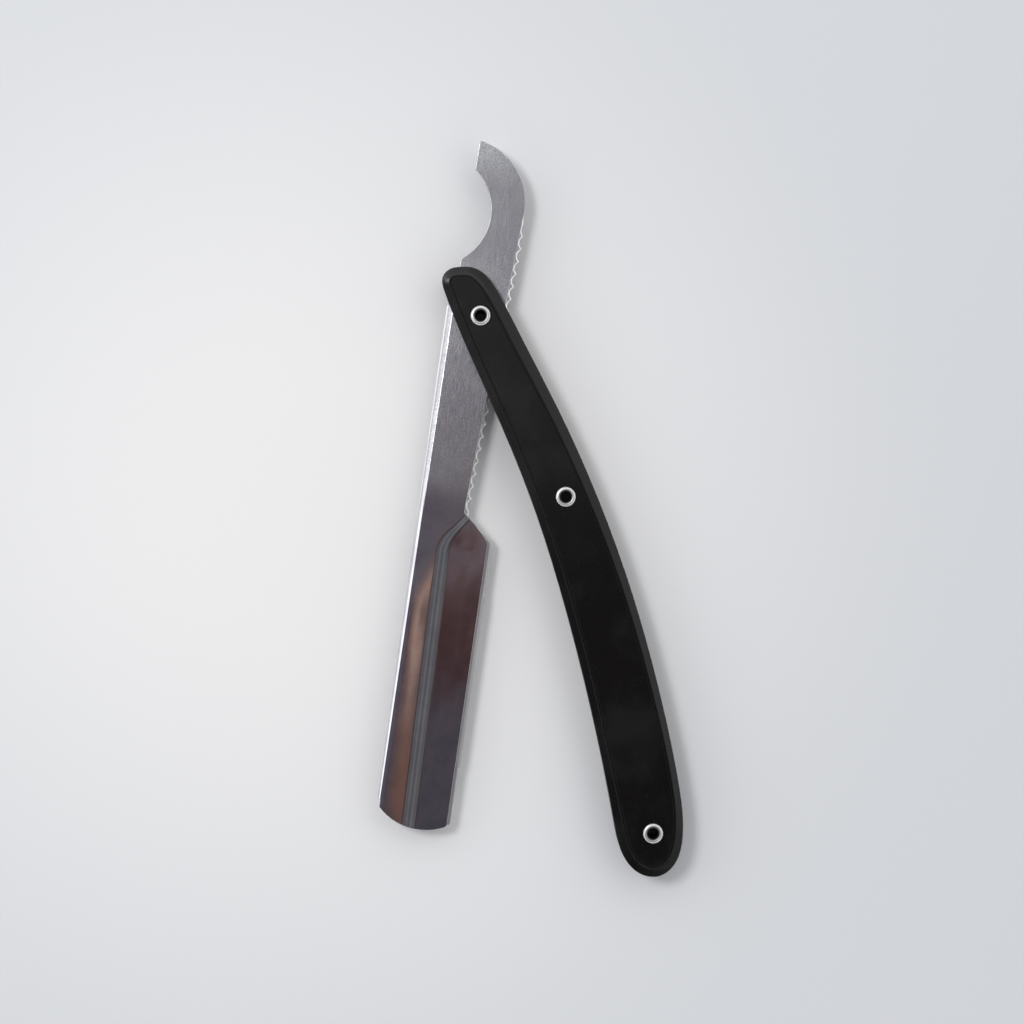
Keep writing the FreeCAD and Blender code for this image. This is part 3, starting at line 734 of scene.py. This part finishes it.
def axes(tree, place):
    """The X, Y and Z of a place."""
    return add(tree, "ShaderNodeSeparateXYZ", {0: place}).outputs


def mix_colour(tree, share, a, b):
    made = add(tree, "ShaderNodeMix", data_type="RGBA", clamp_factor=True)
    for index, value in ((0, share), (6, a), (7, b)):
        if isinstance(value, bpy.types.NodeSocket):
            tree.links.new(value, made.inputs[index])
        else:
            made.inputs[index].default_value = value
    return made.outputs[2]


def bump(tree, height, depth_mm, under=None):
    inputs = {"Height": height, "Strength": 1.0, "Distance": depth_mm * MM}
    if under is not None:
        inputs["Normal"] = under
    return add(tree, "ShaderNodeBump", inputs).outputs["Normal"]


def colour(r, g, b):
    return (r, g, b, 1.0)


def grey(value):
    return colour(value, value, value)


def millimetres(tree, turn=0.0, stretch=(1.0, 1.0, 1.0)):
    """The piece's own coordinates in millimetres, turned about Z, and stretched."""
    place = add(tree, "ShaderNodeTexCoord").outputs["Object"]
    scale = tuple(s / MM for s in stretch)
    inputs = {"Vector": place, "Rotation": (0.0, 0.0, turn)}
    turned = add(tree, "ShaderNodeMapping", inputs, vector_type="POINT").outputs[0]
    return add(tree, "ShaderNodeVectorMath", {0: turned, 1: scale}, operation="MULTIPLY").outputs[0]


def in_leaf(tree, stretch=(1.0, 1.0, 1.0)):
    """Coordinates in millimetres along and across the blade holder, stretched."""
    return millimetres(tree, turn=-HOLDER_REST_ANGLE, stretch=stretch)


def new_material(name):
    material = bpy.data.materials.new(name)
    material.use_nodes = True
    tree = material.node_tree
    shader = next(n for n in tree.nodes if n.type == "BSDF_PRINCIPLED")
    return material, tree, shader


def link(tree, shader, **sockets):
    names = {"colour": "Base Color", "roughness": "Roughness", "normal": "Normal"}
    for key, socket in sockets.items():
        tree.links.new(socket, shader.inputs[names[key]])


PLASTIC_SPECULAR = 0.37
PLATEAU_PAINTED_LIGHT_X = (70.0, 0.0)             # painted light: the plastic is painted lighter from the first to the second, towards the pivot
# heights where the groove's painted shade fades in and ends
GROOVE_FADES_IN_Z, GROOVE_ENDS_Z = (3.56, 3.59), (3.798, 3.79)


def black_plastic(name, base, worn, rough):
    """Satin moulded plastic, with cloudy handling marks, fine grain, a few hairline scratches, painted light
    towards the pivot and painted shade in the groove.
    """
    material, tree, shader = new_material(name)
    shader.inputs["Specular IOR Level"].default_value = PLASTIC_SPECULAR
    place = millimetres(tree)
    clouds = noise(tree, place, 0.09, detail=3.0, roughness=0.5, distortion=0.4)
    marks = ramp(tree, clouds, 0.40, 0.72)
    grain = noise(tree, place, 7.0, detail=3.0)
    dust = ramp(tree, noise(tree, place, 3.1, detail=1.0), 0.735, 0.76)
    scratches = noise(tree, millimetres(tree, turn=0.35, stretch=(0.05, 4.0, 1.0)), 1.0, detail=2.0)
    scratch = ramp(tree, scratches, 0.70, 0.74)
    tint = mix_colour(tree, marks, base, worn)
    # painted light: the plastic is painted lighter towards the pivot, as if more light fell on that end
    painted_light_by_pivot = ramp(tree, axes(tree, place)["X"], *PLATEAU_PAINTED_LIGHT_X)
    tint = mix_colour(tree, maths(tree, "MULTIPLY", painted_light_by_pivot, 0.8), tint, grey(0.014))
    tint = mix_colour(tree, maths(tree, "MULTIPLY", dust, 0.22), tint, grey(0.10))
    roughness = maths(tree, "MULTIPLY_ADD", marks, 0.05, rough)
    roughness = maths(tree, "MULTIPLY_ADD", grain, 0.06, roughness)
    height = maths(tree, "ABSOLUTE", axes(tree, place)["Z"])
    above_low, below_high = ramp(tree, height, *GROOVE_FADES_IN_Z), ramp(tree, height, *GROOVE_ENDS_Z)
    # painted shade: the groove is painted darker, and made rougher, where shade falls in it
    groove_shade_mask = maths(tree, "MULTIPLY", above_low, below_high)
    roughness = blend(tree, groove_shade_mask, roughness, 0.85)
    tint = mix_colour(tree, groove_shade_mask, tint, grey(0.001))
    normal = bump(tree, grain, 0.005)
    normal = bump(tree, scratch, -0.003, normal)
    link(tree, shader, colour=tint, roughness=roughness, normal=normal)
    return material


POLISH_U = (35.0, 46.5)                   # the steel goes from satin to polished over this length
BRUSHED_U = (14.0, 52.0)                  # its lines and speckle fade out over this one
TAIL_DARKENS_U, TIP_LIGHTENS_U = (-5.0, -18.0), (-27.0, -38.0)
BETWEEN_FROM_Z, BETWEEN_UNTIL_Z = (-0.80, -0.70), (0.30, 0.20)   # fades of the faces between the leaves, which are painted lighter at the neck and darker at the head


def steel_tint(tree, along, between, speckled):
    """The leaves' colour: stained steel, a darker tail, speckle, painted light and shade on the faces between
    the leaves, and painted shade in the joggle's bends.
    """
    stains = noise(tree, in_leaf(tree), 0.16, detail=4.0, roughness=0.6, distortion=0.5)
    stained = ramp(tree, stains, 0.35, 0.7)
    tint = mix_colour(tree, stained, colour(0.71, 0.71, 0.74), colour(0.60, 0.60, 0.64))
    tail = ramp(tree, along, *TAIL_DARKENS_U, 0.0, 0.65)
    tint = mix_colour(tree, tail, tint, colour(0.38, 0.38, 0.41))
    tint = mix_colour(tree, ramp(tree, along, *TIP_LIGHTENS_U), tint, colour(0.70, 0.73, 0.75))
    tint = mix_colour(tree, maths(tree, "MULTIPLY", speckled, 0.85), tint, colour(0.36, 0.36, 0.385))
    # painted light and shade: the faces between the leaves get a brighter copy of the steel at the neck, for
    # the jimps' highlights, and a darker one at the head
    lit_and_shaded_between = mix_colour(tree, ramp(tree, along, 44.0, 47.0), grey(0.92), grey(0.56))
    tint = mix_colour(tree, between, tint, lit_and_shaded_between)
    # painted shade: the joggle's bends and edges are painted darker, where shade falls in them
    painted_shade_lines = add(tree, "ShaderNodeAttribute", attribute_name=CREASE_SHADE_LAYER, attribute_type="GEOMETRY").outputs["Fac"]
    return mix_colour(tree, maths(tree, "MULTIPLY", painted_shade_lines, 0.75), tint, colour(0.10, 0.10, 0.115))


def leaf_steel():
    """Sheet steel: satin at the tail, neck and between the leaves, polished on the head's outer faces."""
    material, tree, shader = new_material("leaf_steel")
    shader.inputs["Metallic"].default_value = 1.0
    spot = axes(tree, in_leaf(tree))
    along, height = spot["X"], spot["Z"]
    above_low, below_high = ramp(tree, height, *BETWEEN_FROM_Z), ramp(tree, height, *BETWEEN_UNTIL_Z)
    between = maths(tree, "MULTIPLY", above_low, below_high)
    brushed = ramp(tree, along, *BRUSHED_U, 1.0, 0.0)
    lines = noise(tree, in_leaf(tree, (0.35, 9.0, 1.0)), 1.0, detail=4.0)
    speckle = noise(tree, in_leaf(tree, (1.0, 1.5, 1.0)), 2.6, detail=3.0, roughness=0.65)
    much = maths(tree, "MULTIPLY_ADD", brushed, 0.8, 0.08)
    speckled = maths(tree, "MULTIPLY", ramp(tree, speckle, 0.38, 0.64), much)
    tint = steel_tint(tree, along, between, speckled)
    neck = ramp(tree, along, -30.0, 44.0, 0.34, 0.24)
    roughness = blend(tree, ramp(tree, along, *POLISH_U), neck, 0.07)
    roughness = blend(tree, between, roughness, 0.48)
    depth = maths(tree, "MULTIPLY_ADD", brushed, 0.20, 0.02)
    change = maths(tree, "MULTIPLY", maths(tree, "SUBTRACT", lines, 0.5), depth)
    roughness = maths(tree, "ADD", roughness, change)
    normal = bump(tree, maths(tree, "MULTIPLY", lines, brushed), 0.006)
    normal = bump(tree, maths(tree, "MULTIPLY", speckle, brushed), 0.020, normal)
    wave = noise(tree, in_leaf(tree, (0.35, 1.0, 1.0)), 0.22, detail=1.0)
    normal = bump(tree, wave, 0.04, normal)
    link(tree, shader, colour=tint, roughness=roughness, normal=normal)
    return material


COLLAR_SHADE_R = (1.62, 1.34)                  # painted shade: the eyelets' collars are painted darker from the first to the second radius, round the hole
# painted shade: the eyelets are painted dark below this height, down their bores, fading in over this depth
EYELET_SHADE_BELOW_Z, SHADE_FADE = 3.62, 0.25


def axis_of(node):
    """Where an upright turned node stands, in millimetres."""
    low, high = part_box(node)
    middle = (Vector(low) + Vector(high)) / (2 * MM)
    return (middle.x, middle.y, 0.0)


def plated(name, tint, dull, rough, spots=0.25, painted_shade_below=None, shaded_axes=()):
    """Plated or turned metal with a faint cloudiness and fine grain.

    It has painted shade below a height in millimetres, down the eyelets' bores, and painted shade within the
    collar radii set above of the upright axes given, on the collars' inner lip."""
    material, tree, shader = new_material(name)
    shader.inputs["Metallic"].default_value = 1.0
    place = millimetres(tree)
    clouds = noise(tree, place, 0.9, detail=4.0, roughness=0.6)
    fine = noise(tree, place, 14.0, detail=3.0)
    shade = mix_colour(tree, ramp(tree, clouds, 0.4, 0.75), tint, dull)
    # painted shade down the bore
    if painted_shade_below is not None:
        height = maths(tree, "ABSOLUTE", axes(tree, place)["Z"])
        depth = ramp(tree, height, painted_shade_below, painted_shade_below - SHADE_FADE)
        shade = mix_colour(tree, depth, shade, grey(0.06))
    # painted shade on the collars' inner lip, round each upright axis
    for axis in shaded_axes:
        inputs = {0: place, 1: (1.0, 1.0, 0.0)}
        flat = add(tree, "ShaderNodeVectorMath", inputs, operation="MULTIPLY").outputs[0]
        offset = add(tree, "ShaderNodeVectorMath", {0: flat, 1: axis}, operation="DISTANCE").outputs["Value"]
        shade = mix_colour(tree, ramp(tree, offset, *COLLAR_SHADE_R), shade, grey(0.05))
    roughness = maths(tree, "MULTIPLY_ADD", ramp(tree, clouds, 0.3, 0.8), spots, rough)
    link(tree, shader, colour=shade, roughness=roughness, normal=bump(tree, fine, 0.004))
    return material


def blade_steel():
    """Thin ground steel with the crosswise lines of its ground edge."""
    material, tree, shader = new_material("blade_steel")
    shader.inputs["Metallic"].default_value = 1.0
    lines = noise(tree, in_leaf(tree, (12.0, 0.6, 1.0)), 1.0, detail=3.0)
    clouds = noise(tree, millimetres(tree), 0.3, detail=3.0)
    shade = mix_colour(tree, clouds, grey(0.60), grey(0.54))
    roughness = maths(tree, "MULTIPLY_ADD", lines, 0.12, 0.44)
    link(tree, shader, colour=shade, roughness=roughness, normal=bump(tree, lines, 0.003))
    return material


EYELETS = ("pivot_eyelet", "middle_eyelet", "end_eyelet")

MATERIALS = {
    "scale_plastic": black_plastic("scale_plastic", grey(0.0012), grey(0.0065), 0.22),
    "spacer_plastic": black_plastic("spacer_plastic", grey(0.010), grey(0.015), 0.5),
    "leaf_steel": leaf_steel(),
    "eyelet_nickel": plated(
        "eyelet_nickel", colour(0.76, 0.755, 0.75), colour(0.62, 0.61, 0.59), 0.38, 0.10,
        painted_shade_below=EYELET_SHADE_BELOW_Z, shaded_axes=[axis_of(node) for node in EYELETS]),
    "hardware_steel": plated("hardware_steel", colour(0.62, 0.62, 0.63), colour(0.46, 0.46, 0.48), 0.30),
    "washer_brass": plated("washer_brass", colour(0.78, 0.60, 0.30), colour(0.56, 0.40, 0.18), 0.26),
    "blade_steel": blade_steel(),
}


# ---------------------------------------------------------------- the razor

RIM_Z = 3.0                               # height of the edge where a scale's border starts


def anywhere(point):
    return True


SCALE_RULES = [
    (lambda p: abs(abs(p.z) - RIM_Z) < 0.02, 0.8, 6),
    (anywhere, 0.07, 3),
]
RULES_OF = {
    "front_scale": SCALE_RULES,
    "rear_scale": SCALE_RULES,
    "end_spacer": [(anywhere, 0.15, 3)],
}
LEAVES = {"front_leaf": front_leaf, "rear_leaf": rear_leaf}


def build_razor():
    """Leaves made anew, soft edges on the plastic pieces, and materials on the rest of the CAD meshes."""
    record = frame["record"]
    slot_of = {part["node"]: part["material_slot"] for part in record["subparts"]}
    bodies = record["behaviour"]["bodies"]
    body_of = {node: body for body, nodes in bodies.items() for node in nodes}
    for node, make in LEAVES.items():
        finished(make(), node + "_finished", body_of[node], slot_of[node], node)
    for node, slot in slot_of.items():
        if node in LEAVES:
            continue
        if node in RULES_OF:
            soft_edged(node, RULES_OF[node], body_of[node], slot)
        else:
            data = frame["nodes"][node].data
            data.materials.clear()
            data.materials.append(MATERIALS[slot])


# ---------------------------------------------------------------- floor, light and camera

FLOOR_HALF = 4.0
FLOOR_GAP = 0.05 * MM                     # keeps the floor off the piece that lies on it
PAINTED_LIGHT_LEFT = 45.0                   # painted light: how far to the picture's left the floor is painted brightest
FLOOR_LIGHT_FADES = (20.0, 150.0)               # the painted pool of light fades from its bright middle to the floor's duller rim


def floor():
    mesh = bmesh.new()
    bmesh.ops.create_grid(mesh, x_segments=8, y_segments=8, size=FLOOR_HALF)
    data = bpy.data.meshes.new("floor")
    mesh.to_mesh(data)
    mesh.free()
    material, tree, shader = new_material("floor")
    place = millimetres(tree)
    clouds = noise(tree, place, 0.004, detail=3.0)
    inputs = {0: place, 1: tuple(PICTURE_RIGHT * PAINTED_LIGHT_LEFT)}
    shifted = add(tree, "ShaderNodeVectorMath", inputs, operation="ADD").outputs[0]
    away = add(tree, "ShaderNodeVectorMath", {0: shifted}, operation="LENGTH").outputs["Value"]
    # painted light: a pool of light painted on the floor, bright at one spot and duller further out
    tint = mix_colour(tree, ramp(tree, away, *FLOOR_LIGHT_FADES), grey(0.92), colour(0.74, 0.765, 0.79))
    tint = mix_colour(tree, maths(tree, "MULTIPLY", clouds, 0.12), tint, grey(0.65))
    link(tree, shader, colour=tint)
    shader.inputs["Roughness"].default_value = 0.7
    shader.inputs["Specular IOR Level"].default_value = 0.2
    data.materials.append(material)
    piece = bpy.data.objects.new("floor", data)
    piece.location = (CAMERA_OVER.x, CAMERA_OVER.y, FLOOR_Z - FLOOR_GAP)
    bpy.context.scene.collection.objects.link(piece)


DEGREES = 180 / math.pi
ROOM_STRENGTH = 0.88
CEILING_ENDS = (18.0, 26.0)               # degrees off the zenith, where the ceiling gives way to the room


def glow(tree, right, up, place, spread):
    """A soft patch near the zenith. Its place and spread are in degrees, to the picture's right and up."""
    squares = []
    for value, at, width in zip((right, up), place, spread):
        offset = maths(tree, "SUBTRACT", maths(tree, "MULTIPLY", value, DEGREES), at)
        scaled = maths(tree, "DIVIDE", offset, width)
        squares.append(maths(tree, "MULTIPLY", scaled, scaled))
    total = maths(tree, "ADD", *squares)
    return maths(tree, "EXPONENT", maths(tree, "MULTIPLY", total, -1.0))


def ceiling(tree, right, up):
    """What the polished head mirrors: a slate ceiling with dark red, violet and brown patches over it."""
    patches = (
        (ramp(tree, up, -0.082, -0.066), colour(0.072, 0.035, 0.036)),
        (ramp(tree, up, -0.035, -0.025), colour(0.205, 0.145, 0.15)),
        (ramp(tree, up, -0.022, -0.006), colour(0.14, 0.133, 0.16)),
        (ramp(tree, right, -0.09, -0.16), colour(0.15, 0.115, 0.155)),
        (glow(tree, right, up, (3.4, -6.8), (2.9, 2.6)), colour(0.21, 0.105, 0.078)),
        (glow(tree, right, up, (3.4, -3.3), (2.2, 2.1)), colour(0.55, 0.365, 0.30)),
        (ramp(tree, right, 0.100, 0.130), colour(0.15, 0.148, 0.16)),
        (ramp(tree, right, 0.13, 0.26), colour(0.27, 0.27, 0.28)),
        (ramp(tree, up, 0.02, 0.16), colour(0.165, 0.165, 0.18)),
    )
    shade = colour(0.085, 0.082, 0.10)
    for share, tone in patches:
        shade = mix_colour(tree, share, shade, tone)
    return shade


def studio():
    """A bright soft room, darker on one side, with a dim brownish ceiling straight above."""
    world = bpy.data.worlds.new("studio")
    bpy.context.scene.world = world
    world.use_nodes = True
    tree = world.node_tree
    background = next(n for n in tree.nodes if n.type == "BACKGROUND")
    direction = add(tree, "ShaderNodeTexCoord").outputs["Generated"]

    def along(axis):
        inputs = {0: direction, 1: axis}
        return add(tree, "ShaderNodeVectorMath", inputs, operation="DOT_PRODUCT").outputs["Value"]

    height = along((0.0, 0.0, 1.0))
    right = along(tuple(PICTURE_RIGHT))
    up = along(tuple(PICTURE_UP))
    side = along(tuple(PICTURE_RIGHT * 0.85 + PICTURE_UP * 0.53))
    off_zenith = maths(tree, "MULTIPLY", maths(tree, "ARCCOSINE", height), DEGREES)

    def dim_edge(on_dark_side, on_bright_side, extra):
        """Where the dim part of the room starts or ends, in degrees off the zenith."""
        by_side = ramp(tree, side, -0.45, 0.25, on_dark_side, on_bright_side)
        return maths(tree, "ADD", by_side, ramp(tree, up, -0.22, 0.12, extra, 0.0))

    dim_side = ramp(tree, side, -0.4, 0.3)
    middling = mix_colour(tree, dim_side, colour(0.13, 0.115, 0.14), colour(0.20, 0.20, 0.205))
    middling = mix_colour(tree, ramp(tree, up, 0.10, 0.40), middling, colour(0.30, 0.30, 0.32))
    bright = mix_colour(tree, ramp(tree, side, -0.7, 0.3), colour(1.75, 1.76, 1.78), grey(1.25))
    dim_from, dim_until = dim_edge(42.0, 24.0, 9.0), dim_edge(60.0, 40.0, 20.0)
    past = maths(tree, "SUBTRACT", off_zenith, dim_from)
    share = maths(tree, "DIVIDE", past, maths(tree, "SUBTRACT", dim_until, dim_from))
    room = mix_colour(tree, ramp(tree, share, 0.0, 1.0), middling, bright)
    shade = mix_colour(tree, ramp(tree, off_zenith, *CEILING_ENDS), ceiling(tree, right, up), room)
    tree.links.new(shade, background.inputs["Color"])
    background.inputs["Strength"].default_value = ROOM_STRENGTH


KEY_POWER, KEY_SIZE = 3.7, 0.30
KEY_RIGHT, KEY_UP, KEY_ABOVE = -0.46, 0.28, 0.90   # the lamp's place from the point under the camera


def key_light():
    data = bpy.data.lights.new("key", "AREA")
    data.energy = KEY_POWER
    data.size = KEY_SIZE
    lamp = bpy.data.objects.new("key", data)
    bpy.context.scene.collection.objects.link(lamp)
    place = CAMERA_OVER + PICTURE_RIGHT * KEY_RIGHT + PICTURE_UP * KEY_UP + Vector((0, 0, KEY_ABOVE))
    lamp.location = place
    lamp.rotation_mode = "QUATERNION"
    lamp.rotation_quaternion = (CAMERA_OVER - place).to_track_quat("-Z", "Y")


def camera():
    """Straight above, with the picture's up direction as it is."""
    data = bpy.data.cameras.new("camera")
    data.sensor_width = 36.0
    data.lens = data.sensor_width * CAMERA_HEIGHT / PICTURE_WIDTH
    data.clip_start, data.clip_end = 0.01, 20.0
    piece = bpy.data.objects.new("camera", data)
    bpy.context.scene.collection.objects.link(piece)
    turn = Matrix((PICTURE_RIGHT, PICTURE_UP, Vector((0, 0, 1)))).transposed().to_4x4()
    piece.matrix_world = Matrix.Translation(CAMERA_OVER + Vector((0, 0, CAMERA_HEIGHT))) @ turn
    bpy.context.scene.camera = piece


build_razor()
floor()
studio()
key_light()
camera()
bpy.context.scene.view_settings.view_transform = "Standard"
